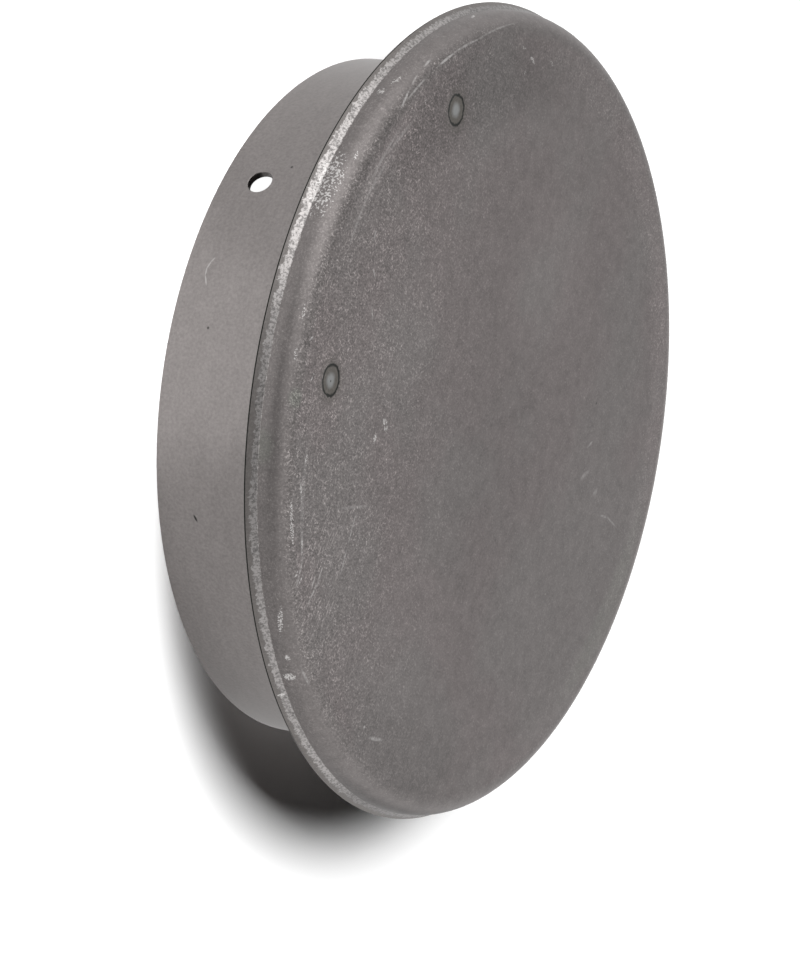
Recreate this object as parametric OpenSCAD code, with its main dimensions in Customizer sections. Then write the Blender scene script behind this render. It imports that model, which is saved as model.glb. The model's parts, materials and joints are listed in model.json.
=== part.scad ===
// Stovepipe blanking cap: a pressed steel cover on a short collar that pushes into the end of a flue pipe.
// It stands on the collar's open end, which lies at z = 0, with the cover's face up and the screw hole at -Y.

/* [Sheet] */
// Thickness of the steel sheet of the cover and the collar
sheet_t = 1.75; // [1:0.25:2.5]

/* [Pipe and collar] */
// Inside diameter of the pipe that the collar pushes into
pipe_d = 150; // [110:1:200]
// Gap all round between the collar and the pipe
pipe_clearance = 0.5; // [0.2:0.1:1.5]
// Length of the collar, from its open end to the back of the cover
collar_len = 36.5; // [25:0.5:70]

/* [Cover] */
// How far the rim of the cover stands out past the collar
rim_overhang = 14.5; // [12:0.5:30]
// Outside radius of the rounded shoulder between face and wall
shoulder_r = 4.8; // [3.6:0.2:9]
// Height of the straight wall between shoulder and lip
wall_h = 0.9; // [0:0.1:6]
// Height of the trimmed lip, front edge to rear edge
lip_h = 2.2; // [1.6:0.2:4]
// How far the lip flares out past the wall
lip_flare = 1.5; // [0.5:0.1:3]
// Radius of the lip's inner rear edge
lip_edge_r = 1.2; // [0.4:0.1:1.4]

/* [Screw hole] */
// Diameter of the screw hole through the collar
hole_d = 5.3; // [3:0.1:8]
// Distance from the collar's open end to the centre of the hole
hole_height = 9; // [6:0.5:16]

/* [Tack welds] */
// Angle from the screw hole back to the first tack weld
tack_before_deg = 25.8; // [10:0.2:90]
// Angle from the screw hole on to the second tack weld
tack_after_deg = 31.4; // [10:0.2:90]
// Distance from the collar's inner wall in to the middle of each weld print
tack_inset = 0.7; // [0:0.1:3]
// Diameter of the weld print on the face
print_d = 7; // [4:0.5:10]
// Depth of the weld print in the face
print_depth = 0.15; // [0.05:0.05:0.4]
// Radius of the weld bead in the corner behind the print
bead_r = 2.4; // [1.2:0.1:4]
// Gap between the top of the weld bead and the back of the cover
bead_gap = 0.1; // [0.05:0.05:0.3]
// Length of the weld bead along the collar
bead_len = 7; // [4:0.5:15]

/* [Hidden] */
$fn = 128;
hole_deg = 270;
tack_degs = [hole_deg - tack_before_deg, hole_deg + tack_after_deg];
collar_r = pipe_d / 2 - pipe_clearance;
collar_bore_r = collar_r - sheet_t;
rim_r = collar_r + rim_overhang;
wall_r = rim_r - lip_flare;
cover_depth = lip_h + wall_h + shoulder_r;
back_z = collar_len;
face_z = back_z + sheet_t;
lip_z = face_z - cover_depth;
tack_r = collar_bore_r - tack_inset;
bead_deg = bead_len / collar_bore_r * 180 / PI;
// Radius of the round-nosed tip that leaves a dished print of this diameter and depth
print_tip_r = (pow(print_d / 2, 2) + pow(print_depth, 2)) / (2 * print_depth);
cut_past = 1;

// Filled half section of a flat-topped dish, radius along x and height along y, with a round upper corner
module dish_section(radius, height, corner_r) {
    square([radius - corner_r, height]);
    square([radius, height - corner_r]);
    translate([radius - corner_r, height - corner_r]) circle(r = corner_r);
}

// Half section of the lip: a slanting trimmed face outside, and a round inner rear edge
module lip_section() {
    bore_r = wall_r - sheet_t;
    difference() {
        polygon([[bore_r, 0], [rim_r, 0], [wall_r, lip_h], [bore_r, lip_h]]);
        difference() {
            translate([bore_r - cut_past, -cut_past]) square(lip_edge_r + cut_past);
            translate([bore_r + lip_edge_r, lip_edge_r]) circle(r = lip_edge_r);
        }
    }
}

// Half section of the cover: one sheet thickness all the way from the face round the shoulder to the lip
module cover_section() {
    intersection() {
        square([rim_r, cover_depth]);
        union() {
            difference() {
                dish_section(wall_r, cover_depth, shoulder_r);
                square([rim_r, lip_h]);
                dish_section(wall_r - sheet_t, cover_depth - sheet_t, shoulder_r - sheet_t);
            }
            lip_section();
        }
    }
}

// Round-nosed tip that presses a dished print into the face, turned so that its poles lie clear of the dish
module weld_print() {
    translate([tack_r, 0, face_z + print_tip_r - print_depth]) rotate([90, 0, 0]) sphere(r = print_tip_r);
}

// Pressed cover with a dished print where each tack weld was made behind it
module cover_disc() {
    color("#706b69") difference() {
        translate([0, 0, lip_z]) rotate_extrude() cover_section();
        for (deg = tack_degs) rotate([0, 0, deg]) weld_print();
    }
}

// Round weld bead, a short way along the corner between the collar's inner wall and the back of the cover
module tack_bead() {
    rotate([0, 0, -bead_deg / 2]) rotate_extrude(angle = bead_deg) intersection() {
        translate([collar_bore_r, back_z]) circle(r = bead_r);
        translate([0, back_z - bead_r]) square([collar_r - sheet_t / 2, bead_r - bead_gap]);
    }
}

// Rolled collar with its screw hole and weld beads
module collar() {
    color("#888381") {
        difference() {
            cylinder(h = collar_len, r = collar_r);
            translate([0, 0, -cut_past]) cylinder(h = collar_len + 2 * cut_past, r = collar_bore_r);
            rotate([0, 0, hole_deg]) translate([0, 0, hole_height]) rotate([0, 90, 0])
                cylinder(h = collar_r + cut_past, d = hole_d);
        }
        for (deg = tack_degs) rotate([0, 0, deg]) tack_bead();
    }
}

cover_disc();
collar();
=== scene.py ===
"""Stovepipe blanking cap: a pressed cover, the collar it is tacked to, their finishes and a plain stage."""
import json
import math

import bpy
import numpy as np
from bpy.props import FloatProperty, FloatVectorProperty, IntProperty, PointerProperty
from bpy.types import Operator, Panel, PropertyGroup
from mathutils import Matrix, Vector


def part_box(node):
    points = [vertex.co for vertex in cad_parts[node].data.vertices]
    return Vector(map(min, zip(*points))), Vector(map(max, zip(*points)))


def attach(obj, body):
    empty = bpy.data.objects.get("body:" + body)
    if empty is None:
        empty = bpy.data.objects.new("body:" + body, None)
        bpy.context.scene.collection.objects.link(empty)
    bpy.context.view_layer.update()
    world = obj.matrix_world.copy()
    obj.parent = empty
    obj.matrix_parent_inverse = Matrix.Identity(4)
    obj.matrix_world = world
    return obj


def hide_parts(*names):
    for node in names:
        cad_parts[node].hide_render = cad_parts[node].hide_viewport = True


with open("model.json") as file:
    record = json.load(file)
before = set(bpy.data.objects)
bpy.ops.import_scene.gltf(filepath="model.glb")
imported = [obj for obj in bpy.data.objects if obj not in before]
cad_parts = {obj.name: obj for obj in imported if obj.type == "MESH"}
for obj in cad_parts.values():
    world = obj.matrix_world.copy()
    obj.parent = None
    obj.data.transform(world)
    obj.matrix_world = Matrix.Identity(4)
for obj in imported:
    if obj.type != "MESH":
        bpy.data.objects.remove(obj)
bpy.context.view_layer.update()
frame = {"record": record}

bl_info = {
    "name": "Stovepipe blanking cap",
    "version": (1, 0, 0),
    "blender": (4, 5, 0),
    "location": "3D View > Sidebar > Blanking cap",
    "description": "Builds a pressed steel blanking cap for a flue pipe, with its finishes and a stage",
    "category": "Object",
}

MM = 0.001
PER_MM = 1000.0
COVER_LOW, COVER_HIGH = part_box("cover_disc")
COLLAR_LOW, COLLAR_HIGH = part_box("collar")
RIM_RADIUS = (COVER_HIGH.x - COVER_LOW.x) / 2
COLLAR_RADIUS = (COLLAR_HIGH.x - COLLAR_LOW.x) / 2
FACE_Z = COVER_HIGH.z
LIP_Z = COVER_LOW.z
COLLAR_LENGTH = COLLAR_HIGH.z
SCREW_HOLE = next(mount for mount in frame["record"]["mounts"] if mount["name"] == "screw_hole")
HOLE_RADIUS = SCREW_HOLE["dims"]["r_mm"] * MM
HOLE_Z = SCREW_HOLE["pos_m"][2]
# The screw hole goes through the collar at -Y
HOLE_TURN = math.radians(270)

# Close rows of the face that carry the weld prints: from and to which radius
CLOSE_ROWS = (66 * MM, 78 * MM)
# Distance from the face's last row to the shoulder, and from an edge to the next row of a flat run
SHOULDER_GAP = 0.5 * MM
EDGE_HOLD = 0.12 * MM
# Points no further than this below the face lie on it
FACE_WITHIN = 0.01 * MM
# Groove of a weld print: share of the dish's depth, place and width as shares of the print's radius
GROOVE_SHARE = 0.5
GROOVE_AT = 0.9
GROOVE_WIDTH = 0.08
# Half the side of the square window round the screw hole, which rings of points fill
WINDOW_HALF = 5.8 * MM
# Weld beads: share of the full section, bluntness of the ends, and the depth and number of ripples
BEAD_FIT = 0.98
BEAD_BLUNT = 0.98
BEAD_RIPPLE = 0.06
BEAD_RIPPLES = 9
# Height of the camera's sensor, in millimetres
SENSOR_HEIGHT = 36.0

# Sides of the face that are scuffed most and warmest in colour, and the lie of its grain, in degrees about Z.
# The scuffed side is also where the lip's rear edge gets its painted gap shadow
WORN_AND_GAP_SHADOW_DEG = 300
WARM_DEG = 224
GRAIN_DEG = 122
# A way past the crease is the length along the section from the crease, and is less than 0 on the face's
# side. Over these ways the scuffs thin out, the sheet gets lighter and its colour turns cool
SCUFFS_END = (-6.6 * MM, -4.8 * MM)
SHOULDER_LIGHT = (-7.5 * MM, -5.0 * MM)
SHOULDER_COOL = (-10.0 * MM, -7.0 * MM)
# Painted shadow line in the gap between the lip's rear edge and the collar: from and to which way, and its
# softness
REAR_GAP_SHADOW = (2.35 * MM, 2.90 * MM, 0.12 * MM)
# Stains of a weld print: full to one radius and gone at the next in millimetres, strength, and which colour
WELD_STAINS = (
    (3.2, 6.0, 0.35, "weld_halo"),
    (2.8, 3.3, 0.70, "weld_halo"),
    (0.7, 2.1, 0.92, "weld_middle"),
)
# Dark ring of a weld print: inner and outer radius, and its softness
WELD_RING = (3.04 * MM, 3.26 * MM, 0.36 * MM)
# Fine strokes all over the face: direction in degrees, length for a width of 1
STROKES = ((5, 2.2), (64, 1.8), (97, 2.4), (148, 2.2))
# Brushed part of the face: x, y, length, width in millimetres, direction in degrees
BRUSHED = (66, -34, 46, 32, 10)
# Lie of the strokes in it, in degrees
BRUSHED_DEG = 6
# Level of the sheet's colour where nothing is added to it
SHEET_LEVEL = 0.935
# Depth of the marks on the face in millimetres: less than the sheet, so that its back stays clear of them
MARK_DEPTH = 1.6
# Soft scratches on the face: x, y, length, width in millimetres, direction in degrees, strength
FACE_LINES = (
    (70.5, -41.5, 8.5, 0.9, 25, 0.42),
    (70, -34, 10, 0.9, 3, 0.42),
    (69, -35.5, 4.0, 0.9, 16, 0.40),
    (66.5, -34.5, 5.0, 0.9, 17, 0.40),
    (52.5, -31.5, 9.0, 0.8, 22, 0.36),
    (59, -29, 7.0, 0.8, 22, 0.36),
    (49, -34, 15, 0.9, 129, 0.22),
    (66.5, -45, 9.0, 1.0, 49, 0.30),
    (59.5, -53.5, 8.0, 1.0, 55, 0.28),
    (76.5, 11, 8.0, 1.2, 119, 0.42),
    (18.5, -59, 5.5, 0.6, 59, 0.45),
    (12.5, -65, 3.6, 0.6, 70, 0.50),
    (7.5, -70.5, 4.0, 0.6, 22, 0.45),
    (-23.5, 40.5, 3.8, 0.9, 160, 0.30),
    (-17.5, 44, 6.0, 1.6, 154, 0.22),
    (-18, 51.5, 3.4, 2.0, 168, 0.22),
    (-17, 59.5, 5.0, 0.9, 120, 0.25),
    (-18.5, 63.5, 7.5, 0.8, 102, 0.25),
)
# Clusters of bright flecks on the face: x, y, length, width in millimetres, direction in degrees, strength
FACE_FLECKS = (
    (30, -38, 3.6, 2.2, 113, 0.72),
    (30.5, -36.5, 3.4, 2.4, 64, 0.72),
    (35, -38.5, 4.4, 2.2, 9, 0.70),
    (54, -57, 3.8, 1.2, 28, 0.70),
    (59.5, -53.5, 5.0, 1.2, 55, 0.70),
    (66.5, -45, 6.0, 1.2, 49, 0.70),
    (71.5, -40, 3.8, 1.0, 6, 0.76),
    (77.5, 5, 1.8, 0.9, 13, 0.75),
    (-24, -76, 2.6, 1.0, 55, 0.65),
    (-56.5, -48.5, 2.4, 1.0, 0, 0.58),
    (-60.5, -48, 4.6, 1.6, 100, 0.68),
    (-66, -41, 3.4, 1.3, 105, 0.56),
    (-59.5, -53, 2.8, 1.1, 109, 0.56),
)
# Soft scratches round the rim: angle, way past the crease, length, width, tilt, strength
RIM_LINES = (
    (257, -6.8, 7.5, 0.8, -12, 0.62),
    (253.8, -7.3, 12, 0.7, 0, 0.45),
    (253.2, -5.7, 4.5, 0.6, -9, 0.40),
    (248.9, -5.2, 4.5, 0.7, -4, 0.45),
    (245, -7.3, 10, 0.8, 0, 0.68),
    (239.5, -7.3, 18, 0.7, 1, 0.48),
    (230.5, -6.8, 26, 0.6, -4, 0.30),
    (261, -12.0, 16, 1.3, 4, 0.22),
    (266, -10.8, 24, 1.1, -2, 0.26),
    (270, -12.4, 22, 1.3, 2, 0.20),
    (277.5, -12.6, 16, 1.2, -4, 0.22),
    (318.5, -11.8, 28, 2.0, 5, 0.16),
    (345.5, -5.2, 6.5, 0.7, -6, 0.35),
)
# Clusters of bright flecks round the rim: angle, way past the crease, length, width, tilt, strength
RIM_FLECKS = (
    (224.5, -1.0, 3.4, 1.0, -16, 0.58),
    (232.5, -1.9, 4.2, 1.2, -14, 0.68),
    (234, 1.6, 3.0, 0.9, 0, 0.58),
    (258.4, -1.7, 4.0, 2.4, 0, 0.68),
    (255.4, -2.9, 5.8, 1.6, 16, 0.66),
    (270, -4.3, 4.6, 1.1, 0, 0.60),
    (293.3, -5.2, 7.0, 1.3, -4, 0.58),
    (299, -5.3, 5.0, 1.3, 0, 0.58),
    (296.4, -8.7, 2.4, 1.1, 35, 0.70),
    (301.5, -11.8, 4.0, 1.1, 29, 0.66),
    (321.8, -7.6, 18, 1.9, 0, 0.68),
    (329.6, -7.9, 2.2, 1.2, 50, 0.80),
    (335.5, -3.0, 11, 1.9, 9, 0.74),
    (341.5, -2.8, 2.4, 2.0, 0, 0.80),
    (344.8, -2.0, 3.2, 4.4, 0, 0.80),
    (348, 1.0, 1.1, 2.8, 0, 0.85),
)
# A curved scratch and dark specks on the collar: angle, height, length, width, tilt, strength
COLLAR_LINES = (
    (288.4, 5.6, 3.2, 0.5, 24, 0.34),
    (287, 5.1, 2.8, 0.5, 4, 0.34),
    (285.9, 5.3, 2.6, 0.5, -19, 0.34),
    (285, 5.8, 2.0, 0.5, -33, 0.28),
)
COLLAR_SPECKS = (
    (266.4, 14.5, 0.9, 0.8, 0, 0.75),
    (296, 9.0, 0.8, 0.8, 0, 0.75),
    (326.4, 9.1, 2.2, 0.7, 27, 0.90),
)
# Dark specks on the face, as the scratches are given
DARK_MARKS = (
    (37.6, -61.3, 0.7, 0.6, 32, 0.75),
    (-31.5, 35.5, 1.1, 0.7, 164, 0.60),
)
# Lighter and darker stretches near the rim, partly tone and partly painted highlight and shade: angle, way
# past the crease, length, width, light added
RIM_TONE_AND_PAINTED_LIGHT = (
    (236, -17, 130, 26, -0.20),
    (20, -14, 90, 26, -0.10),
    # Painted shade: the shoulder's dark band, where it mirrors a dark part of the room
    (268, -7.9, 48, 3.6, -0.10),
    (267, -11.7, 52, 6.5, 0.17),
    (324, -11, 100, 5.5, -0.02),
    # Next two rows: painted shade on the wall and low shoulder, which mirror the bright floor
    (338, -1.3, 130, 4.5, -0.10),
    (388, -1.5, 90, 8, -0.48),
    # Next two rows: painted highlight along the far shoulder, and painted light on the far margin of the face
    (122, -5, 240, 8, 0.70),
    (112, -11, 270, 14, 0.12),
)
# Lighter and darker ovals on the face: x, y, length, width, direction, light added
FACE_SHADES = (
    (10, 10, 75, 55, 32, -0.05),
    (-36, -6, 50, 44, 0, 0.10),
    (18, -48, 76, 34, -15, 0.06),
    (54, 4, 44, 44, 0, 0.05),
)
# Scuffed stretches and greenish stains round the rim: angle, way past the crease, length, width, share
SCUFFED = ((268, -11.5, 46, 5.5, 1.0), (320, -9.5, 84, 9.0, 1.0), (160, -12, 250, 15, 0.35))
STAINED = ((304.8, -7.0, 6, 5.0, 0.6), (311.5, -1.0, 10, 6.0, 0.5), (92, -12, 78, 11, 0.35))
# Pitted, polished, thin and dull stretches round the rim: angle, way past the crease, length, width
PITTED = (275.5, -1.3, 21, 7.5)
POLISHED = (273, 0.9, 82, 30)
THIN = (311, 0.9, 26, 30)
DULL = ((388, 0.9, 76, 30), (214, 0.9, 90, 30))
# Kinds of ray that metal and glass send on
MIRROR_RAYS = ("Is Glossy Ray", "Is Transmission Ray")
# Distances from the axis over which the floor inside the collar ends, and over which the pools of light fade
COLLAR_INSIDE = (71 * MM, 72 * MM)
POOLS_FADE = (110 * MM, 170 * MM)
# Share of plain white in the floor that metal sees, outside the collar and inside it
WHITE_OUTSIDE = 0.75
WHITE_INSIDE = 0.30
# Pools of light and shade on the floor that metal sees: bearing in degrees, cosine of the reach, light added
POOLS = ((299, 0.89, 0.52), (345, 0.82, -0.14))
# Patches of the room that metal sees: azimuth, elevation, reach and core in degrees, and light added
ROOM_PATCHES = (
    (243, 43, 38, 6, 1.6),
    (312, 20, 48, 8, -0.60),
    (62, 34, 62, 12, 0.28),
    (180, 8, 48, 10, 0.22),
    (150, 42, 38, 8, -0.18),
)


class CoverSettings(PropertyGroup):
    """Sizes of the pressed cover that its box does not give"""

    sheet: FloatProperty(
        name="Sheet", description="Thickness of the steel sheet",
        default=FACE_Z - COLLAR_LENGTH, min=0.0005, unit="LENGTH", precision=5)
    shoulder: FloatProperty(
        name="Shoulder", description="Outside radius between face and wall",
        default=4.8 * MM, min=0.002, unit="LENGTH", precision=5)
    lip_height: FloatProperty(
        name="Lip height", description="Height of the trimmed lip",
        default=2.2 * MM, min=0.001, unit="LENGTH", precision=5)
    lip_flare: FloatProperty(
        name="Lip flare", description="How far the lip flares out past the wall",
        default=1.5 * MM, min=0.0002, unit="LENGTH", precision=5)
    inner_edge: FloatProperty(
        name="Inner edge", description="Radius of the lip's inner rear edge",
        default=1.2 * MM, min=0.0002, unit="LENGTH", precision=5)
    crisp_edge: FloatProperty(
        name="Crisp edge", description="Radius left on the crease and the trimmed edge",
        default=0.14 * MM, min=0.00002, unit="LENGTH", precision=5)


class CollarSettings(PropertyGroup):
    """Sizes of the collar that its box does not give"""

    sheet: FloatProperty(
        name="Sheet", description="Thickness of the steel sheet",
        default=FACE_Z - COLLAR_LENGTH, min=0.0005, unit="LENGTH", precision=5)
    edge: FloatProperty(
        name="Edge", description="Radius on the edges of the collar's ends",
        default=0.3 * MM, min=0.00002, unit="LENGTH", precision=5)
    hole_edge: FloatProperty(
        name="Hole edge", description="Radius on the edge of the screw hole",
        default=0.28 * MM, min=0.00002, unit="LENGTH", precision=5)


class WeldSettings(PropertyGroup):
    """Places and sizes of the two tack welds"""

    turn_before: FloatProperty(
        name="First weld", description="Angle from the screw hole back to the first weld",
        default=math.radians(25.8), subtype="ANGLE")
    turn_after: FloatProperty(
        name="Second weld", description="Angle from the screw hole on to the second weld",
        default=math.radians(31.4), subtype="ANGLE")
    inset: FloatProperty(
        name="Inset", description="Distance from the collar's inner wall in to the middle of a print",
        default=0.7 * MM, min=0.0, unit="LENGTH", precision=5)
    print_radius: FloatProperty(
        name="Print radius", description="Radius of the print that a weld leaves in the face",
        default=3.5 * MM, min=0.001, unit="LENGTH", precision=5)
    print_depth: FloatProperty(
        name="Print depth", description="Depth of the print in the face",
        default=0.15 * MM, min=0.0, unit="LENGTH", precision=5)
    bead_radius: FloatProperty(
        name="Bead radius", description="Radius of the weld bead in the corner behind a print",
        default=2.4 * MM, min=0.0005, unit="LENGTH", precision=5)
    bead_length: FloatProperty(
        name="Bead length", description="Length of the weld bead along the collar",
        default=7.0 * MM, min=0.001, unit="LENGTH", precision=5)


class FinishSettings(PropertyGroup):
    """Colours of the steel"""

    cover: FloatVectorProperty(
        name="Cover", description="Dull scuffed sheet of the cover",
        default=(0.179, 0.159, 0.1565), size=3, min=0.0, max=1.0, subtype="COLOR")
    cover_cool: FloatVectorProperty(
        name="Cover, cool", description="Cooler clouds in the sheet of the cover",
        default=(0.174, 0.160, 0.1565), size=3, min=0.0, max=1.0, subtype="COLOR")
    collar: FloatVectorProperty(
        name="Collar", description="Smooth sheet of the collar",
        default=(0.262, 0.242, 0.236), size=3, min=0.0, max=1.0, subtype="COLOR")
    bare: FloatVectorProperty(
        name="Bare metal", description="Bare metal in scratches and pits",
        default=(0.58, 0.565, 0.555), size=3, min=0.0, max=1.0, subtype="COLOR")
    burnish: FloatVectorProperty(
        name="Burnish", description="Sheared band of the lip at its brightest",
        default=(0.426, 0.405, 0.397), size=3, min=0.0, max=1.0, subtype="COLOR")
    fracture: FloatVectorProperty(
        name="Fracture", description="Dull torn band of the lip",
        default=(0.170, 0.158, 0.152), size=3, min=0.0, max=1.0, subtype="COLOR")
    stain: FloatVectorProperty(
        name="Stain", description="Faint greenish stains near the rim",
        default=(0.168, 0.172, 0.155), size=3, min=0.0, max=1.0, subtype="COLOR")
    # Also the colour of dark specks, and of the painted gap shadow behind the lip's rear edge
    weld_ring_and_gap_shadow: FloatVectorProperty(
        name="Weld ring", description="Dark ring of a weld print and dark line of the lip's rear edge",
        default=(0.020, 0.021, 0.019), size=3, min=0.0, max=1.0, subtype="COLOR")
    weld_halo: FloatVectorProperty(
        name="Weld halo", description="Heat stain round a weld print",
        default=(0.105, 0.098, 0.086), size=3, min=0.0, max=1.0, subtype="COLOR")
    weld_middle: FloatVectorProperty(
        name="Weld middle", description="Pale middle of a weld print",
        default=(0.27, 0.275, 0.275), size=3, min=0.0, max=1.0, subtype="COLOR")


class StageSettings(PropertyGroup):
    """Camera, light and floor"""

    aim: FloatVectorProperty(
        name="Aim", description="Point that the camera looks at",
        default=(33.82 * MM, -23.81 * MM, FACE_Z), size=3, subtype="TRANSLATION", unit="LENGTH", precision=5)
    distance: FloatProperty(
        name="Distance", description="Distance from the camera to the aim",
        default=784.88 * MM, min=0.1, unit="LENGTH")
    azimuth: FloatProperty(
        name="Azimuth", description="Direction from the aim to the camera, about Z from +X",
        default=math.radians(302.476), subtype="ANGLE")
    elevation: FloatProperty(
        name="Elevation", description="Height of the camera above the floor's direction",
        default=math.radians(29.174), subtype="ANGLE")
    roll: FloatProperty(
        name="Roll", description="Turn of the picture's upright away from level",
        default=math.radians(-98.602), subtype="ANGLE")
    lens: FloatProperty(
        name="Lens", description="Focal length in millimetres over a 36 mm tall sensor",
        default=142.881, min=10.0)
    key_azimuth: FloatProperty(
        name="Key azimuth", description="Direction of the key light about Z from +X",
        default=math.radians(272), subtype="ANGLE")
    key_elevation: FloatProperty(
        name="Key elevation", description="Height of the key light",
        default=math.radians(50), subtype="ANGLE")
    key_distance: FloatProperty(
        name="Key distance", description="Distance of the key light from the origin",
        default=3.2, min=0.3, unit="LENGTH")
    key_size: FloatProperty(
        name="Key size", description="Width and height of the key light",
        default=1.4, min=0.05, unit="LENGTH")
    key_power: FloatProperty(
        name="Key power", description="Power of the key light", default=200.0, min=0.0, unit="POWER")
    fill: FloatProperty(
        name="Fill", description="Light of the surroundings on dull surfaces", default=0.005, min=0.0)
    floor_half: FloatProperty(
        name="Floor", description="Half the width of the floor", default=3.0, min=0.5, unit="LENGTH")
    floor_colour: FloatVectorProperty(
        name="Floor colour", description="Pale floor", default=(0.93, 0.93, 0.93), size=3, subtype="COLOR")


class CapSettings(PropertyGroup):
    """Everything a user would change about the cap and its stage"""

    columns: IntProperty(name="Columns", description="Steps round the cap", default=720, min=96, max=900)
    cover: PointerProperty(type=CoverSettings)
    collar: PointerProperty(type=CollarSettings)
    welds: PointerProperty(type=WeldSettings)
    finish: PointerProperty(type=FinishSettings)
    stage: PointerProperty(type=StageSettings)


def weld_turns(welds):
    """Angles of the two welds about Z."""
    return (HOLE_TURN - welds.turn_before, HOLE_TURN + welds.turn_after)


def print_places(settings):
    """Middles of the weld prints on the face, as x and y, one row for each weld."""
    radius = COLLAR_RADIUS - settings.collar.sheet - settings.welds.inset
    turns = np.array(weld_turns(settings.welds))
    return radius * np.column_stack((np.cos(turns), np.sin(turns)))


def direction(azimuth, elevation):
    """Unit vector at an azimuth about Z from +X and an elevation."""
    level = math.cos(elevation)
    return Vector((level * math.cos(azimuth), level * math.sin(azimuth), math.sin(elevation)))


def straight(start, end, hold, count):
    """Points on a straight run: count points between two that stand the hold length in from its ends."""
    length = np.linalg.norm(end - start)
    share = np.concatenate(([0.0], np.linspace(hold, length - hold, count) / length, [1.0]))
    return start + share[:, None] * (end - start)


def rounded_section(corners, radii, hold, arc_steps, line_steps):
    """Points along a section with each inner corner rounded by an arc that touches both its runs.

    At a corner that turns by an angle a, the arc of radius r starts r tan(a / 2) before the corner. Its
    centre lies r to the inner side there, and its points are the start turned about the centre by 0 to a.
    """
    corners = np.asarray(corners, float)
    pieces = []
    begin = corners[0]
    for before, corner, after, radius in zip(corners, corners[1:], corners[2:], radii):
        ahead = (corner - before) / np.linalg.norm(corner - before)
        onward = (after - corner) / np.linalg.norm(after - corner)
        turn = math.atan2(ahead[0] * onward[1] - ahead[1] * onward[0], ahead @ onward)
        touch = corner - ahead * radius * math.tan(abs(turn) / 2)
        to_centre = math.copysign(radius, turn) * np.array((-ahead[1], ahead[0]))
        angle = np.linspace(0, turn, arc_steps)
        spoke = -to_centre
        arc = np.column_stack((
            spoke[0] * np.cos(angle) - spoke[1] * np.sin(angle),
            spoke[0] * np.sin(angle) + spoke[1] * np.cos(angle))) + touch + to_centre
        pieces.append(straight(begin, touch, hold, line_steps)[:-1])
        pieces.append(arc[:-1])
        begin = arc[-1]
    pieces.append(straight(begin, corners[-1], hold, line_steps))
    return np.concatenate(pieces)


def along(section):
    """Length of the section from its first point to each point."""
    return np.concatenate(([0.0], np.cumsum(np.linalg.norm(np.diff(section, axis=0), axis=1))))


def revolve(section, columns):
    """Turn a section about Z: x = r cos(a), y = r sin(a) and z as drawn, for every row and every angle a."""
    turn = np.arange(columns) * (2 * math.pi / columns)
    radius, height = section[:, :1], section[:, 1:]
    return np.stack(np.broadcast_arrays(radius * np.cos(turn), radius * np.sin(turn), height), axis=-1)


def with_poles(grid):
    """The grid's points as one list, with its first and its last row cut down to one point each."""
    return np.concatenate((grid[0, :1], grid[1:-1].reshape(-1, 3), grid[-1, :1]))


def ring_quads(rows, columns, closed):
    """Quads between neighbouring rows of a grid whose columns run right round, and whose rows may too."""
    row = np.arange(rows if closed else rows - 1)[:, None]
    column = np.arange(columns)[None, :]
    row_on = (row + 1) % rows
    column_on = (column + 1) % columns
    corners = (row * columns + column, row_on * columns + column,
               row_on * columns + column_on, row * columns + column_on)
    return np.stack(np.broadcast_arrays(*corners), axis=-1)


def new_piece(name, points, faces, node, material, attributes):
    """A smooth mesh at the origin that rides on the cap, stands for a node and takes its slot's finish."""
    mesh = bpy.data.meshes.new(name)
    mesh.from_pydata(points.tolist(), [], faces)
    if mesh.validate():
        raise RuntimeError(f"{name} has faulty faces")
    mesh.polygons.foreach_set("use_smooth", np.ones(len(mesh.polygons), bool))
    for label, values in attributes.items():
        kind, key = ("FLOAT_VECTOR", "vector") if values.ndim == 2 else ("FLOAT", "value")
        layer = mesh.attributes.new(label, kind, "POINT")
        layer.data.foreach_set(key, np.ascontiguousarray(values, np.float32).ravel())
    mesh.materials.append(material)
    piece = bpy.data.objects.new(name, mesh)
    bpy.context.scene.collection.objects.link(piece)
    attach(piece, "root")
    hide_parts(node)


def cover_section(cover):
    """The cover's section from the middle of its face out over shoulder, crease and lip, and back inside.

    One sheet thickness all the way: the face, a round shoulder, a short straight wall, a lip that slants out
    to the trimmed edge, and the same runs again on the inner side. Returns the points and the way of each
    past the crease.
    """
    wall = RIM_RADIUS - cover.lip_flare
    inner = wall - cover.sheet
    back = FACE_Z - cover.sheet
    lip_top = LIP_Z + cover.lip_height
    close_from, close_to = CLOSE_ROWS
    face_radii = np.concatenate((
        np.linspace(0, close_from, 10)[:-1], np.linspace(close_from, close_to, 37)[:-1],
        np.linspace(close_to, wall - cover.shoulder - SHOULDER_GAP, 5)))
    face = np.column_stack((face_radii, np.full_like(face_radii, FACE_Z)))
    corners = [face[-1], (wall, FACE_Z), (wall, lip_top), (RIM_RADIUS, LIP_Z),
               (inner, LIP_Z), (inner, back), (0, back)]
    radii = [cover.shoulder, cover.crisp_edge, cover.crisp_edge,
             cover.inner_edge, cover.shoulder - cover.sheet]
    rest = rounded_section(corners, radii, hold=EDGE_HOLD, arc_steps=11, line_steps=4)
    section = np.concatenate((face[:-1], rest))
    crease = np.argmin(np.hypot(section[:, 0] - wall, section[:, 1] - lip_top))
    way = along(section)
    return section, way - way[crease]


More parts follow.
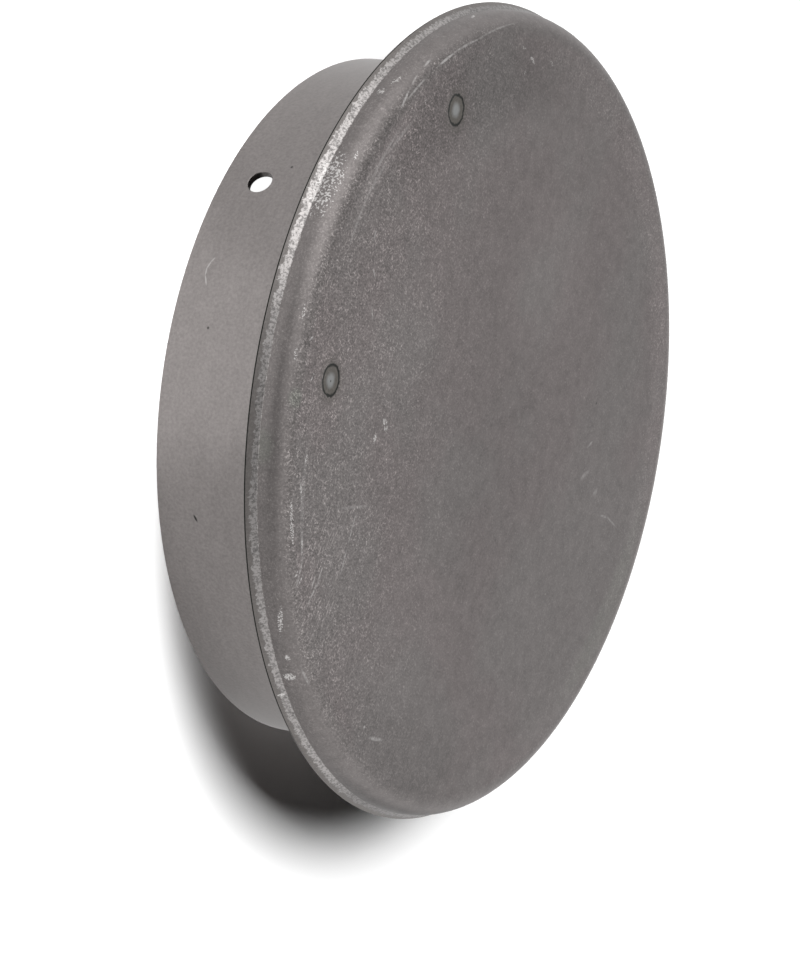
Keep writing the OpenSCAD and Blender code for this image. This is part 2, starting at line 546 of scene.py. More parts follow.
def press_prints(points, settings):
    """Press the weld prints into the face: a shallow round dish with a deeper groove just inside its edge.

    With d the distance from a print's middle over its radius, the dish is depth (1 - d d) and the groove is
    a bell of a share of that depth about the d where it lies.
    """
    welds = settings.welds
    on_face = points[..., 2] > FACE_Z - FACE_WITHIN
    for place in print_places(settings):
        reach = np.hypot(points[..., 0] - place[0], points[..., 1] - place[1]) / welds.print_radius
        dish = np.clip(1 - reach ** 2, 0, None)
        groove = GROOVE_SHARE * np.exp(-((reach - GROOVE_AT) / GROOVE_WIDTH) ** 2)
        points[..., 2] -= np.where(on_face, welds.print_depth * (dish + groove), 0.0)


class CAP_OT_cover(Operator):
    """Build the pressed cover with its shoulder, lip and weld prints"""

    bl_idname = "cap.cover"
    bl_label = "Cover"

    def execute(self, context):
        settings = context.scene.cap
        columns = settings.columns
        section, way = cover_section(settings.cover)
        grid = revolve(section, columns)
        press_prints(grid, settings)
        # A point's girth is its place on a ring as wide as the rim, with its way past the crease as height
        girth = revolve(np.column_stack((np.full_like(way, RIM_RADIUS), way)), columns)
        # The first and last rows are the poles on the axis, so each becomes one point
        points = with_poles(grid)
        girths = with_poles(girth)
        rows = len(section) - 2
        quads = ring_quads(rows, columns, closed=False).reshape(-1, 4) + 1
        column = np.arange(columns)
        column_on = (column + 1) % columns
        last_row = 1 + (rows - 1) * columns
        last = np.full(columns, len(points) - 1)
        front = np.column_stack((np.zeros(columns, int), 1 + column, 1 + column_on))
        back = np.column_stack((last_row + column, last, last_row + column_on))
        faces = quads.tolist() + front.tolist() + back.tolist()
        new_piece("cover_sheet", points, faces, "cover_disc",
                  cover_steel(settings), {"girth": girths, "way": girths[:, 2]})
        return {"FINISHED"}


def collar_section(collar):
    """The collar's closed section, down its outer wall and up its inner one, with four rounded edges.

    Returns the points, and the rows of the outer and of the inner wall that lie level with the screw hole's
    window.
    """
    bore = COLLAR_RADIUS - collar.sheet
    edge = collar.edge
    window_top = HOLE_Z + WINDOW_HALF
    window_foot = HOLE_Z - WINDOW_HALF
    above = np.linspace(COLLAR_LENGTH - 2 * edge, window_top, 16)
    beside = np.linspace(window_top, window_foot, 15)[1:]
    below = np.linspace(window_foot, 2 * edge, 3)[1:]
    level = np.concatenate(([COLLAR_LENGTH - edge], above, beside, below, [edge]))
    angle = np.linspace(0, math.pi / 2, 6)[1:-1]
    sine, cosine = edge * np.sin(angle), edge * np.cos(angle)
    outer = np.column_stack((np.full_like(level, COLLAR_RADIUS), level))
    inner = np.column_stack((np.full_like(level, bore), level))[::-1]
    flat = np.linspace(COLLAR_RADIUS - edge, bore + edge, 4)
    foot = np.concatenate((
        np.column_stack((COLLAR_RADIUS - edge + cosine, edge - sine)),
        np.column_stack((flat, np.zeros_like(flat))),
        np.column_stack((bore + edge - cosine, edge - sine))[::-1]))
    head = np.column_stack((foot[::-1, 0], COLLAR_LENGTH - foot[::-1, 1]))
    section = np.concatenate((outer, foot, inner, head))
    outer_window = len(above) + np.arange(len(beside) + 1)
    inner_last = len(outer) + len(foot) + len(inner) - 1
    return section, outer_window, inner_last - outer_window


def window_loop(rows, first_column, last_column, columns):
    """Grid numbers round a window, starting low on its left and going right, up, left and down.

    The rows run from the window's upper side to its lower one.
    """
    across_window = np.arange(first_column, last_column)
    low = rows[-1] * columns + across_window
    right = rows[:0:-1] * columns + last_column
    high = rows[0] * columns + (across_window + 1)[::-1]
    left = rows[:-1] * columns + first_column
    return np.concatenate((low, right, high, left))


def hole_sleeve(outer_rim, inner_rim, collar):
    """Rings that lead from a square window in the outer wall through the screw hole to one in the inner wall.

    Seen along the hole, a ring's points lie on the rays from its axis to the window's points. On a wall they
    go evenly from the window to the hole's edge, and y follows from x x + y y = r r. Through the hole they
    stand on its circle, with both edges rounded by quarter arcs.
    """
    bore = COLLAR_RADIUS - collar.sheet
    edge = collar.hole_edge
    ray = np.arctan2(outer_rim[:, 2] - HOLE_Z, outer_rim[:, 0])
    ray_x, ray_z = np.cos(ray), np.sin(ray)
    share = np.linspace(0, 1, 9)[1:-1, None]
    lead = HOLE_RADIUS + edge
    step_in = np.linspace(0, math.pi / 2, 6)[:, None]
    reach = HOLE_RADIUS + edge * (1 - np.sin(step_in))
    depth = edge * (1 - np.cos(step_in))

    def wall_rings(rim, radius):
        """Rings on a wall of this radius, from the window's rim in to the hole's edge."""
        x = rim[:, 0] + share * (lead * ray_x - rim[:, 0])
        z = rim[:, 2] + share * (HOLE_Z + lead * ray_z - rim[:, 2])
        return np.stack((x, -np.sqrt(radius ** 2 - x ** 2), z), axis=-1)

    def edge_rings(radius, inward):
        """Rings round the hole's edge on a wall of this radius, stepping in along a quarter arc."""
        x = reach * ray_x
        z = HOLE_Z + reach * ray_z
        return np.stack((x, -np.sqrt(radius ** 2 - x ** 2) + inward * depth, z), axis=-1)

    return np.concatenate((
        wall_rings(outer_rim, COLLAR_RADIUS), edge_rings(COLLAR_RADIUS, 1),
        edge_rings(bore, -1)[::-1], wall_rings(inner_rim, bore)[::-1]))


class CAP_OT_collar(Operator):
    """Build the rolled collar with its screw hole"""

    bl_idname = "cap.collar"
    bl_label = "Collar"

    def execute(self, context):
        settings = context.scene.cap
        columns = settings.columns
        section, outer_rows, inner_rows = collar_section(settings.collar)
        grid = revolve(section, columns).reshape(-1, 3)
        quads = ring_quads(len(section), columns, closed=True)
        middle = round(HOLE_TURN / (2 * math.pi) * columns)
        half = round(WINDOW_HALF / (2 * math.pi * COLLAR_RADIUS) * columns)
        first, last = middle - half, middle + half
        keep = np.ones(quads.shape[:2], bool)
        keep[outer_rows[0]:outer_rows[-1], first:last] = False
        keep[inner_rows[-1]:inner_rows[0], first:last] = False
        outer_loop = window_loop(outer_rows, first, last, columns)
        inner_loop = window_loop(inner_rows, first, last, columns)
        sleeve = hole_sleeve(grid[outer_loop], grid[inner_loop], settings.collar)
        rings, around = sleeve.shape[:2]
        sleeve_numbers = len(grid) + np.arange(rings * around).reshape(rings, around)
        number = np.concatenate((outer_loop[None], sleeve_numbers, inner_loop[None]))
        on = np.roll(number, -1, axis=1)
        sleeve_quads = np.stack((number[:-1], on[:-1], on[1:], number[1:]), axis=-1).reshape(-1, 4)
        points = np.concatenate((grid, sleeve.reshape(-1, 3)))
        # Grid points inside the two windows carry no face, so they go and the rest are numbered again
        faces = np.concatenate((quads[keep], sleeve_quads))
        used, faces = np.unique(faces, return_inverse=True)
        new_piece("collar_ring", points[used], faces.reshape(-1, 4).tolist(), "collar",
                  collar_steel(settings), {})
        return {"FINISHED"}


def bead_points(settings, turn):
    """One weld bead: a quarter-round section carried along the collar's inside corner.

    With u from -1 to 1 along the bead and b its bluntness, the section's size follows sqrt(1 - b u b u) times
    a small ripple. So the bead swells in the middle and comes to a blunt end on both sides.
    """
    welds = settings.welds
    corner_radius = COLLAR_RADIUS - settings.collar.sheet
    u = np.sin(np.linspace(-1, 1, 41) * math.pi / 2)[:, None]
    ripple = 1 - BEAD_RIPPLE + BEAD_RIPPLE * np.cos(BEAD_RIPPLES * math.pi * u)
    size = np.sqrt(1 - (BEAD_BLUNT * u) ** 2) * ripple
    arc = np.linspace(0, math.pi / 2, 14)
    inward = np.concatenate((np.sin(arc), [0.0])) * welds.bead_radius * BEAD_FIT
    down = np.concatenate((np.cos(arc), [0.0])) * welds.bead_radius * BEAD_FIT
    angle = turn + u * welds.bead_length / 2 / corner_radius
    radius = corner_radius - size * inward
    height = COLLAR_LENGTH - size * down
    return np.stack((radius * np.cos(angle), radius * np.sin(angle), height), axis=-1)


class CAP_OT_weld_beads(Operator):
    """Build the weld beads in the corner between the collar and the back of the cover"""

    bl_idname = "cap.weld_beads"
    bl_label = "Weld beads"

    def execute(self, context):
        settings = context.scene.cap
        beads = [bead_points(settings, turn) for turn in weld_turns(settings.welds)]
        rows, around = beads[0].shape[:2]
        # The section runs the other way round from the caps, so its quads are turned to face outwards
        quads = ring_quads(rows, around, closed=False).reshape(-1, 4)[:, ::-1]
        caps = np.stack((np.arange(around)[::-1], (rows - 1) * around + np.arange(around)))
        points = np.concatenate([bead.reshape(-1, 3) for bead in beads])
        faces = []
        for number in range(len(beads)):
            first = number * rows * around
            faces += (quads + first).tolist() + (caps + first).tolist()
        new_piece("weld_beads", points, faces, "collar", bead_steel(settings), {})
        return {"FINISHED"}


class Finish:
    """A node tree with short calls that each add a node or a few and hand back an output."""

    def __init__(self, tree):
        self.tree = tree

    def node(self, kind, **settings):
        """A new node with these settings."""
        made = self.tree.nodes.new(kind)
        for key, value in settings.items():
            setattr(made, key, value)
        return made

    def feed(self, socket, value):
        """Link an output to a socket, or set a plain value on it."""
        if isinstance(value, bpy.types.NodeSocket):
            self.tree.links.new(value, socket)
        elif socket.type == "RGBA":
            socket.default_value = (*value, 1.0)
        else:
            socket.default_value = value

    def feed_all(self, made, values):
        """Feed a node's sockets by their labels."""
        for label, value in values.items():
            self.feed(made.inputs[label], value)

    def place(self):
        """Object coordinates, in metres."""
        return self.node("ShaderNodeTexCoord").outputs["Object"]

    def attribute(self, name, output):
        """An output of one of the mesh's own attributes."""
        return self.node("ShaderNodeAttribute", attribute_name=name).outputs[output]

    def rays(self, *kinds):
        """1 for a ray of one of these kinds, and 0 for any other."""
        path = self.node("ShaderNodeLightPath")
        return self.most(*(path.outputs[kind] for kind in kinds))

    def math(self, operation, *values):
        """An operation on numbers."""
        made = self.node("ShaderNodeMath", operation=operation)
        for socket, value in zip(made.inputs, values):
            self.feed(socket, value)
        return made.outputs[0]

    def in_turn(self, operation, values):
        """The same operation on all the values, one after another."""
        total = values[0]
        for value in values[1:]:
            total = self.math(operation, total, value)
        return total

    def add(self, *values):
        """The sum of the values."""
        return self.in_turn("ADD", values)

    def times(self, *values):
        """The product of the values."""
        return self.in_turn("MULTIPLY", values)

    def most(self, *values):
        """The largest of the values."""
        return self.in_turn("MAXIMUM", values)

    def less(self, value, taken):
        """The value less another."""
        return self.math("SUBTRACT", value, taken)

    def total(self, base, *parts):
        """The base plus the value times the share of each part."""
        return self.add(base, *(self.times(value, share) for value, share in parts))

    def centred(self, value):
        """A value from 0 to 1 moved to lie about 0."""
        return self.less(value, 0.5)

    def ramp(self, value, low, high, to_low=0.0, to_high=1.0):
        """A smooth step of the value, from to_low at low to to_high at high."""
        made = self.node("ShaderNodeMapRange", interpolation_type="SMOOTHSTEP")
        self.feed_all(made, {
            "Value": value, "From Min": low, "From Max": high, "To Min": to_low, "To Max": to_high})
        return made.outputs["Result"]

    def band(self, value, low, high, soft):
        """1 between low and high, falling to 0 over the soft width on both sides."""
        rise = self.ramp(value, low - soft, low)
        fall = self.ramp(value, high, high + soft, 1.0, 0.0)
        return self.times(rise, fall)

    def vector_math(self, operation, *values):
        """An operation on vectors, as a vector, or as a number where it gives one."""
        made = self.node("ShaderNodeVectorMath", operation=operation)
        for socket, value in zip(made.inputs, values):
            self.feed(socket, value)
        return made.outputs["Value" if operation in ("LENGTH", "DOT_PRODUCT") else "Vector"]

    def distance(self, vector, middle):
        """Distance from an upright axis through the middle, in metres."""
        level = self.vector_math("MULTIPLY", vector, (1.0, 1.0, 0.0))
        return self.vector_math("LENGTH", self.vector_math("SUBTRACT", level, (*middle, 0.0)))

    def across(self, vector, turn_deg):
        """How far a place lies towards a direction about Z: 1 at the rim on that side, -1 at the other."""
        return self.vector_math("DOT_PRODUCT", vector, direction(math.radians(turn_deg), 0.0) / RIM_RADIUS)

    def noise(self, vector, per_mm, detail=2.0, roughness=0.5):
        """Noise from 0 to 1 with so many lumps to a millimetre."""
        made = self.node("ShaderNodeTexNoise")
        self.feed_all(made, {
            "Vector": vector, "Scale": per_mm * PER_MM, "Detail": detail, "Roughness": roughness})
        return made.outputs["Fac"]

    def blend(self, share, first, second):
        """The first colour, going over to the second as the share goes to 1."""
        made = self.node("ShaderNodeMix", data_type="RGBA")
        self.feed_all(made, {"Factor": share, "A": first, "B": second})
        return made.outputs["Result"]

    def tone(self, colour, level):
        """The colour times a level."""
        made = self.node("ShaderNodeVectorMath", operation="SCALE")
        self.feed(made.inputs[0], colour)
        self.feed(made.inputs["Scale"], level)
        return made.outputs[0]

    def bump(self, height, strength, depth):
        """The normal over a fine relief."""
        made = self.node("ShaderNodeBump")
        self.feed_all(made, {"Height": height, "Strength": strength, "Distance": depth})
        return made.outputs["Normal"]

    def laid(self, vector, middle, turn, size):
        """The vector in a frame of its own: from the middle, turned, and counted in lengths of the size."""
        made = self.node("ShaderNodeMapping", vector_type="TEXTURE")
        self.feed_all(made, {"Vector": vector, "Location": middle, "Rotation": turn, "Scale": size})
        return made.outputs[0]

    def oval(self, frame_vector, core=0.35):
        """1 in the core of a unit ball, falling smoothly to 0 at its surface."""
        return self.ramp(self.vector_math("LENGTH", frame_vector), core, 1.0, 1.0, 0.0)

    def face_mark(self, place, x, y, length, width, turn_deg):
        """An oval flat on the face, with its middle and sizes in millimetres and its direction in degrees."""
        return self.oval(self.laid(
            place, (x * MM, y * MM, FACE_Z), (0.0, 0.0, math.radians(turn_deg)),
            (length / 2 * MM, width / 2 * MM, MARK_DEPTH * MM)))

    def rim_mark(self, girth, turn_deg, way, length, width, tilt_deg=0.0, radius=RIM_RADIUS):
        """An oval laid round a ring: angle, way past the crease or height, length round, width and tilt."""
        turn = math.radians(turn_deg)
        return self.oval(self.laid(
            girth, (radius * math.cos(turn), radius * math.sin(turn), way * MM),
            (0.0, -math.radians(tilt_deg), turn + math.pi / 2),
            (length / 2 * MM, length / 2 * MM, width / 2 * MM)))

    def face_marks(self, place, rows):
        """An oval on the face for each row, times the strength that ends the row."""
        return [self.times(self.face_mark(place, *row[:-1]), row[-1]) for row in rows]

    def rim_marks(self, girth, rows, radius=RIM_RADIUS):
        """An oval round a ring for each row, times the strength that ends the row."""
        return [self.times(self.rim_mark(girth, *row[:-1], radius=radius), row[-1]) for row in rows]


def new_metal(name):
    """A bare metal material: its finish, and the shader to feed."""
    material = bpy.data.materials.new(name)
    material.use_nodes = True
    shader = material.node_tree.nodes["Principled BSDF"]
    shader.inputs["Metallic"].default_value = 1.0
    return material, Finish(material.node_tree), shader


def sheet_colour(finish, place, girth, way, colours):
    """Colour of the cover's sheet: warm and cool clouds, and a few faint greenish stains.

    The clouds are warmest on one side of the face, and the shoulder is cool all round.
    """
    warm = finish.times(finish.across(place, WARM_DEG), 0.12)
    clouds = finish.ramp(finish.less(finish.noise(place, per_mm=0.03), warm), 0.40, 0.62)
    cool = finish.most(clouds, finish.ramp(way, *SHOULDER_COOL))
    steel = finish.blend(cool, colours.cover, colours.cover_cool)
    return finish.blend(finish.most(*finish.rim_marks(girth, STAINED)), steel, colours.stain)


def sheet_tone_and_painted_light(finish, place, girth, way):
    """Level of the scuffed sheet about 1: clouds, mottle and grain, and fine light strokes over them.

    Grain and strokes are strongest on the worn side of the face and where it is scuffed, and thin out on the
    shoulder. The lighter and darker stretches come on top, some of them painted highlight and shade near the
    rim.
    """

    def grain(shift, turn_deg, longer, per_mm):
        """Noise drawn out along a direction, with a shift to a part of it that is used nowhere else."""
        turn = (0.0, 0.0, math.radians(turn_deg))
        return finish.noise(finish.laid(place, (shift, 0.0, 0.0), turn, (longer, 1.0, 1.0)), per_mm, 1.0)

    flat = finish.ramp(way, *SCUFFS_END, 1.0, 0.35)
    side = finish.ramp(finish.across(place, WORN_AND_GAP_SHADOW_DEG), -0.05, 0.95)
    wear = finish.times(finish.most(side, *finish.rim_marks(girth, SCUFFED)), flat)
    clump = finish.ramp(finish.noise(place, per_mm=0.22), 0.38, 0.66, 0.45, 1.0)
    cloud = finish.centred(finish.noise(place, per_mm=0.03))
    mottle = finish.centred(finish.noise(place, per_mm=0.38, detail=3.0))
    fine = finish.centred(grain(0.0, GRAIN_DEG, longer=1.6, per_mm=2.4))
    strokes = finish.add(*(
        finish.ramp(grain(0.01 * turn_deg, turn_deg, longer, per_mm=2.6), 0.61, 0.71)
        for turn_deg, longer in STROKES))
    bristle = finish.ramp(grain(0.5, BRUSHED_DEG, longer=11.0, per_mm=2.2), 0.57, 0.72)
    brushed = finish.times(finish.face_mark(place, *BRUSHED), bristle)
    mottle_share = finish.total(0.46, (side, -0.10))
    fine_share = finish.total(0.16, (flat, 0.21), (wear, 0.90))
    stroke_share = finish.total(0.04, (flat, 0.13), (finish.times(wear, clump), 0.72))
    scuffed_sheet = finish.total(
        SHEET_LEVEL, (cloud, 0.16), (mottle, mottle_share), (fine, fine_share),
        (strokes, stroke_share), (brushed, 0.60))
    return finish.add(
        scuffed_sheet, finish.ramp(way, *SHOULDER_LIGHT, 0.0, 0.10),
        *finish.rim_marks(girth, RIM_TONE_AND_PAINTED_LIGHT), *finish.face_marks(place, FACE_SHADES))


def sheet_marks(finish, place, girth):
    """Share of bright bare metal: soft scratches, clusters of flecks, and a cluster of pits.

    A scratch is its oval broken up by noise. Flecks and pits are the peaks of a fine noise that an oval
    lifts.
    """

    def spread(face_rows, rim_rows):
        """The strongest of all the ovals on the face and round the rim."""
        return finish.most(*finish.face_marks(place, face_rows), *finish.rim_marks(girth, rim_rows))

    broken = finish.ramp(finish.noise(place, per_mm=1.3), 0.35, 0.62, 0.35, 1.0)
    lines = finish.times(spread(FACE_LINES, RIM_LINES), broken)
    cluster = spread(FACE_FLECKS, RIM_FLECKS)
    fleck = finish.total(cluster, (finish.noise(place, per_mm=3.2, detail=1.5), 1.8))
    flecks = finish.times(finish.ramp(fleck, 1.46, 1.80), finish.ramp(cluster, 0.0, 0.2, 0.0, 0.9))
    pitted = finish.times(finish.rim_mark(girth, *PITTED), 0.17)
    pit = finish.add(finish.noise(place, per_mm=2.2, detail=1.5), pitted)
    pits = finish.times(finish.ramp(pit, 0.65, 0.76), finish.ramp(pitted, 0.0, 0.04, 0.0, 0.85))
    return finish.most(lines, flecks, pits)


def lip_colours(finish, girth, way, grain, colours):
    """Colour of the lip, and the share of it that is sheared bright.

    The sheared band is speckled bare metal from the crease to a ragged edge about half way out, and the rest
    is torn and dull. The rear edge carries a painted gap shadow, only where the collar lies behind it.
    """
    ragged = finish.noise(girth, per_mm=0.8, detail=3.0, roughness=0.7)
    speckle = finish.ramp(finish.noise(girth, per_mm=1.7, detail=3.0, roughness=0.65), 0.40, 0.56)
    nick = finish.ramp(finish.noise(girth, per_mm=0.9, detail=3.0, roughness=0.7), 0.36, 0.44, 0.66, 1.0)
    polished = finish.rim_mark(girth, *POLISHED)
    thin = finish.rim_mark(girth, *THIN)
    dull = finish.most(*(finish.rim_mark(girth, *stretch) for stretch in DULL))

    front = finish.ramp(finish.total(way, (ragged, 0.9 * MM)), 0.22 * MM, 0.38 * MM)
    torn_edge = finish.total(-0.02 * MM, (ragged, 2.8 * MM), (polished, 0.30 * MM), (thin, -0.25 * MM))
    rear = finish.ramp(finish.less(way, torn_edge), -0.12 * MM, 0.12 * MM, 1.0, 0.0)
    sheared = finish.times(front, rear)

    speckle_share = finish.total(0.34, (polished, 0.24))
    shine = finish.total(0.48, (speckle, speckle_share))
    shine = finish.times(shine, nick, finish.ramp(dull, 0.0, 1.0, 1.0, 0.66))
    torn = finish.tone(colours.fracture, finish.total(0.65, (grain, 0.7)))
    colour = finish.blend(sheared, torn, finish.tone(colours.burnish, shine))
    # Painted shadow in the gap between the lip's rear edge and the collar, on the side where the collar lies
    # behind it
    collar_behind = finish.ramp(finish.across(girth, WORN_AND_GAP_SHADOW_DEG), 0.40, 0.70)
    gap_shadow = finish.times(finish.band(way, *REAR_GAP_SHADOW), collar_behind)
    return finish.blend(gap_shadow, colour, colours.weld_ring_and_gap_shadow), sheared


def weld_stain(finish, place, wobble, middle, colour, colours):
    """The colour with a weld print laid over it: heat stain, dull inside, pale core and a thin dark ring."""
    far = finish.add(finish.distance(place, middle), wobble)
    for full, gone, strength, paint in WELD_STAINS:
        stain = finish.ramp(far, full * MM, gone * MM, strength, 0.0)
        colour = finish.blend(stain, colour, getattr(colours, paint))
    return finish.blend(finish.band(far, *WELD_RING), colour, colours.weld_ring_and_gap_shadow)


def coat(finish, shader, colour, rough, relief):
    """Give a metal its colour, roughness and fine relief."""
    finish.feed_all(shader, {"Base Color": colour, "Roughness": rough, "Normal": relief})


def cover_steel(settings):
    """Dull scuffed sheet, with a bright sheared band on the lip and a dark ring at each weld print."""
    colours = settings.finish
    material, finish, shader = new_metal("cover_steel")
    place = finish.place()
    girth = finish.attribute("girth", "Vector")
    way = finish.attribute("way", "Fac")
    grain = finish.noise(place, per_mm=2.2)

    steel = sheet_colour(finish, place, girth, way, colours)
    colour = finish.tone(steel, sheet_tone_and_painted_light(finish, place, girth, way))
    wobble = finish.times(finish.centred(finish.noise(place, per_mm=0.9, detail=3.0)), 0.9 * MM)
    for middle in print_places(settings):
        colour = weld_stain(finish, place, wobble, middle, colour, colours)
    lip, sheared = lip_colours(finish, girth, way, grain, colours)
    on_lip = finish.most(sheared, finish.ramp(way, -0.10 * MM, 0.0))
    colour = finish.blend(on_lip, colour, lip)
    colour = finish.blend(sheet_marks(finish, place, girth), colour, colours.bare)
    specks = finish.most(*finish.face_marks(place, DARK_MARKS))
    colour = finish.blend(specks, colour, colours.weld_ring_and_gap_shadow)

    rough = finish.total(0.42, (grain, 0.14), (sheared, -0.10))
    coat(finish, shader, colour, rough, finish.bump(grain, strength=0.25, depth=0.03 * MM))
    return material


def collar_steel(settings):
    """Smooth rolled sheet with faint soft streaks, fine grain, a curved scratch and a few dark specks."""
    colours = settings.finish
    material, finish, shader = new_metal("collar_steel")
    place = finish.place()
    cloud = finish.noise(place, per_mm=0.05)
    pressed_flat = finish.vector_math("MULTIPLY", place, (1.0, 1.0, 4.0))
    streak = finish.noise(pressed_flat, per_mm=0.12, detail=3.0)
    grain = finish.noise(place, per_mm=1.6, detail=2.5, roughness=0.6)
    level = finish.total(0.43, (cloud, 0.12), (streak, 0.16), (grain, 0.56))
    colour = finish.tone(colours.collar, level)
    for rows, paint in ((COLLAR_LINES, colours.bare), (COLLAR_SPECKS, colours.weld_ring_and_gap_shadow)):
        marks = finish.rim_marks(place, rows, radius=COLLAR_RADIUS)
        colour = finish.blend(finish.most(*marks), colour, paint)
    rough = finish.total(0.33, (grain, 0.12))
    coat(finish, shader, colour, rough, finish.bump(grain, strength=0.15, depth=0.02 * MM))
    return material


def bead_steel(settings):
    """Burnt weld metal, darker and more lumpy than the sheet."""
    material, finish, shader = new_metal("bead_steel")
    lump = finish.noise(finish.place(), per_mm=0.9, detail=3.0)
    colour = finish.tone(settings.finish.cover, finish.total(0.35, (lump, 0.8)))
    rough = finish.total(0.35, (lump, 0.3))
    coat(finish, shader, colour, rough, finish.bump(lump, strength=0.5, depth=0.1 * MM))
    return material


def floor_white(stage):
    """Pale dull floor that keeps the cap's shadow.

    To metal it is part of the white surroundings, with only a share of the shadow, and pools of light and
    shade in front of the collar. Where the collar closes it off, the camera sees it as white.
    """
    material = bpy.data.materials.new("floor_white")
    material.use_nodes = True
    tree = material.node_tree
    tree.nodes.remove(tree.nodes["Principled BSDF"])
    finish = Finish(tree)
    dull = finish.node("ShaderNodeBsdfDiffuse")
    finish.feed(dull.inputs["Color"], stage.floor_colour)
    white = finish.node("ShaderNodeEmission")
    place = finish.place()
    far = finish.distance(place, (0.0, 0.0))
    # Inside the collar the floor lies in the cap's shade: painted light makes it white to the camera, and
    # partly white to metal
    inside = finish.ramp(far, *COLLAR_INSIDE, 1.0, 0.0)
    mirror = finish.rays(*MIRROR_RAYS)
    rims_away = finish.math("DIVIDE", far, RIM_RADIUS)
    pools = []
    for turn_deg, reach, light in POOLS:
        bearing = finish.math("DIVIDE", finish.across(place, turn_deg), rims_away)
        pools.append(finish.times(finish.ramp(bearing, reach, 1.0), light))
    near = finish.times(finish.ramp(far, *POOLS_FADE, 1.0, 0.0), mirror)
    finish.feed(white.inputs["Strength"], finish.total(1.0, (finish.add(*pools), near)))
    mix = finish.node("ShaderNodeMixShader")
    finish.feed(mix.inputs["Fac"], finish.add(
        finish.times(inside, finish.rays("Is Camera Ray")),
        finish.times(mirror, finish.ramp(inside, 0.0, 1.0, WHITE_OUTSIDE, WHITE_INSIDE))))
    finish.feed(mix.inputs[1], dull.outputs[0])
    finish.feed(mix.inputs[2], white.outputs[0])
    finish.feed(tree.nodes["Material Output"].inputs["Surface"], mix.outputs[0])
    return material


def studio_world(stage):
    """White to the camera; to metal a bright room with lighter and darker patches; a dim fill to the rest."""
    world = bpy.data.worlds.new("studio")
    world.use_nodes = True
    finish = Finish(world.node_tree)
    way = finish.node("ShaderNodeTexCoord").outputs["Generated"]
    room = 1.0
    for azimuth, elevation, reach, core, light in ROOM_PATCHES:
        middle = direction(math.radians(azimuth), math.radians(elevation))
        cosine = finish.vector_math("DOT_PRODUCT", way, middle)
        near = finish.ramp(cosine, math.cos(math.radians(reach)), math.cos(math.radians(core)))
        room = finish.total(room, (near, light))
    strength = finish.total(
        stage.fill, (finish.rays(*MIRROR_RAYS), finish.less(room, stage.fill)),
        (finish.rays("Is Camera Ray"), 1.0 - stage.fill))
    background = world.node_tree.nodes["Background"]
    finish.feed_all(background, {"Color": (1.0, 1.0, 1.0), "Strength": strength})
    return world


def set_camera(scene, stage):
    """Camera that looks at the aim from an azimuth, elevation and distance, with its upright rolled."""
    away = direction(stage.azimuth, stage.elevation)
    level_right = (-away).cross(Vector((0.0, 0.0, 1.0))).normalized()
    level_up = level_right.cross(-away)
    up = math.cos(stage.roll) * level_up + math.sin(stage.roll) * level_right
    right = (-away).cross(up)
    data = bpy.data.cameras.new("camera")
    data.sensor_fit = "VERTICAL"
    data.sensor_height = SENSOR_HEIGHT
    data.lens = stage.lens
    data.clip_start = 0.01
    camera = bpy.data.objects.new("camera", data)
    turned = Matrix((right, up, away)).transposed().to_4x4()
    camera.matrix_world = Matrix.Translation(Vector(stage.aim) + stage.distance * away) @ turned
    scene.collection.objects.link(camera)
    scene.camera = camera


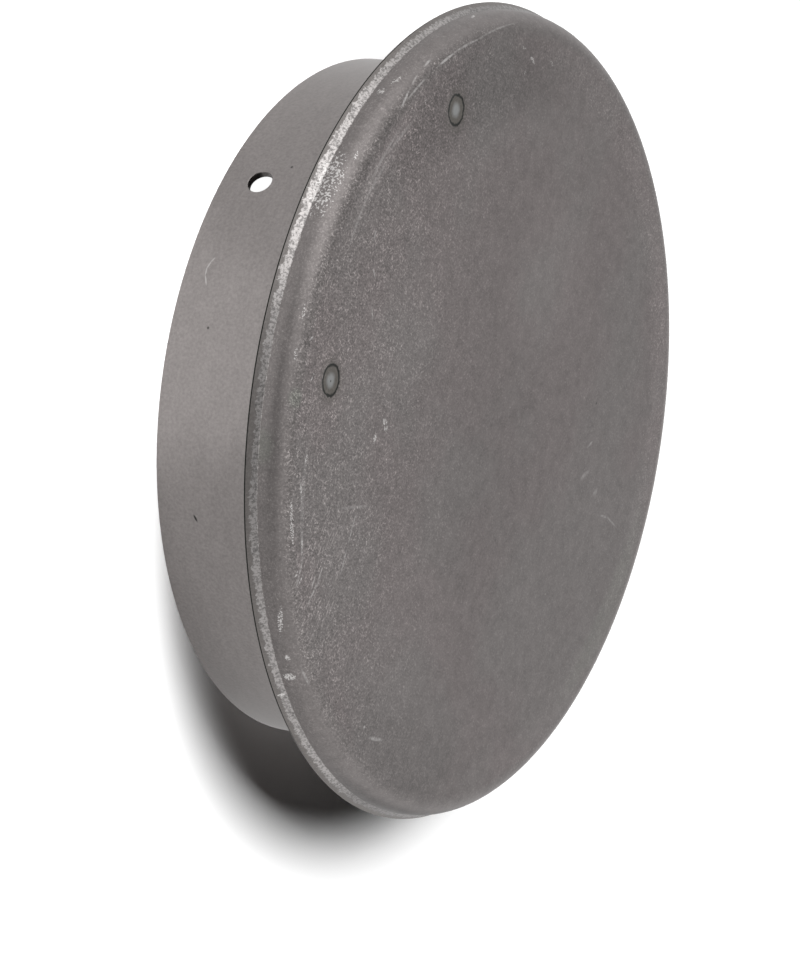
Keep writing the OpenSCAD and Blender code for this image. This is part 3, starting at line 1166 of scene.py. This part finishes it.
class CAP_OT_stage(Operator):
    """Set up the floor, the light and the camera"""

    bl_idname = "cap.stage"
    bl_label = "Stage"

    def execute(self, context):
        scene = context.scene
        stage = scene.cap.stage
        scene.view_settings.view_transform = "Standard"
        scene.world = studio_world(stage)
        half = stage.floor_half
        corners = [(-half, -half, 0.0), (half, -half, 0.0), (half, half, 0.0), (-half, half, 0.0)]
        mesh = bpy.data.meshes.new("floor")
        mesh.from_pydata(corners, [], [(0, 1, 2, 3)])
        mesh.materials.append(floor_white(stage))
        floor = bpy.data.objects.new("floor", mesh)
        scene.collection.objects.link(floor)

        away = direction(stage.key_azimuth, stage.key_elevation)
        light = bpy.data.lights.new("key", "AREA")
        light.energy = stage.key_power
        light.size = stage.key_size
        key = bpy.data.objects.new("key", light)
        key.location = away * stage.key_distance
        key.rotation_euler = away.to_track_quat("Z", "Y").to_euler()
        # Metal sees the key in the surroundings, as a wider and softer patch
        key.visible_glossy = False
        scene.collection.objects.link(key)
        set_camera(scene, stage)
        return {"FINISHED"}


class CAP_PT_sidebar(Panel):
    """Sizes, colours and building steps of the cap"""

    bl_idname = "CAP_PT_sidebar"
    bl_label = "Blanking cap"
    bl_space_type = "VIEW_3D"
    bl_region_type = "UI"
    bl_category = "Blanking cap"

    def draw(self, context):
        settings = context.scene.cap
        layout = self.layout
        for operator in OPERATORS:
            layout.operator(operator.bl_idname)
        layout.prop(settings, "columns")
        for group in (settings.cover, settings.collar, settings.welds, settings.finish, settings.stage):
            box = layout.box()
            box.label(text=group.bl_rna.description)
            for label in group.__annotations__:
                box.prop(group, label)


GROUPS = (CoverSettings, CollarSettings, WeldSettings, FinishSettings, StageSettings, CapSettings)
OPERATORS = (CAP_OT_cover, CAP_OT_collar, CAP_OT_weld_beads, CAP_OT_stage)
CLASSES = (*GROUPS, *OPERATORS, CAP_PT_sidebar)


def register():
    """Make the add-on's classes and the scene's settings known."""
    for added in CLASSES:
        bpy.utils.register_class(added)
    bpy.types.Scene.cap = PointerProperty(type=CapSettings)


def unregister():
    """Take the scene's settings and the add-on's classes away again."""
    del bpy.types.Scene.cap
    for added in reversed(CLASSES):
        bpy.utils.unregister_class(added)


def main():
    """Register the add-on, and build every piece and the stage."""
    register()
    bpy.ops.cap.cover()
    bpy.ops.cap.collar()
    bpy.ops.cap.weld_beads()
    bpy.ops.cap.stage()


if __name__ == "__main__":
    main()
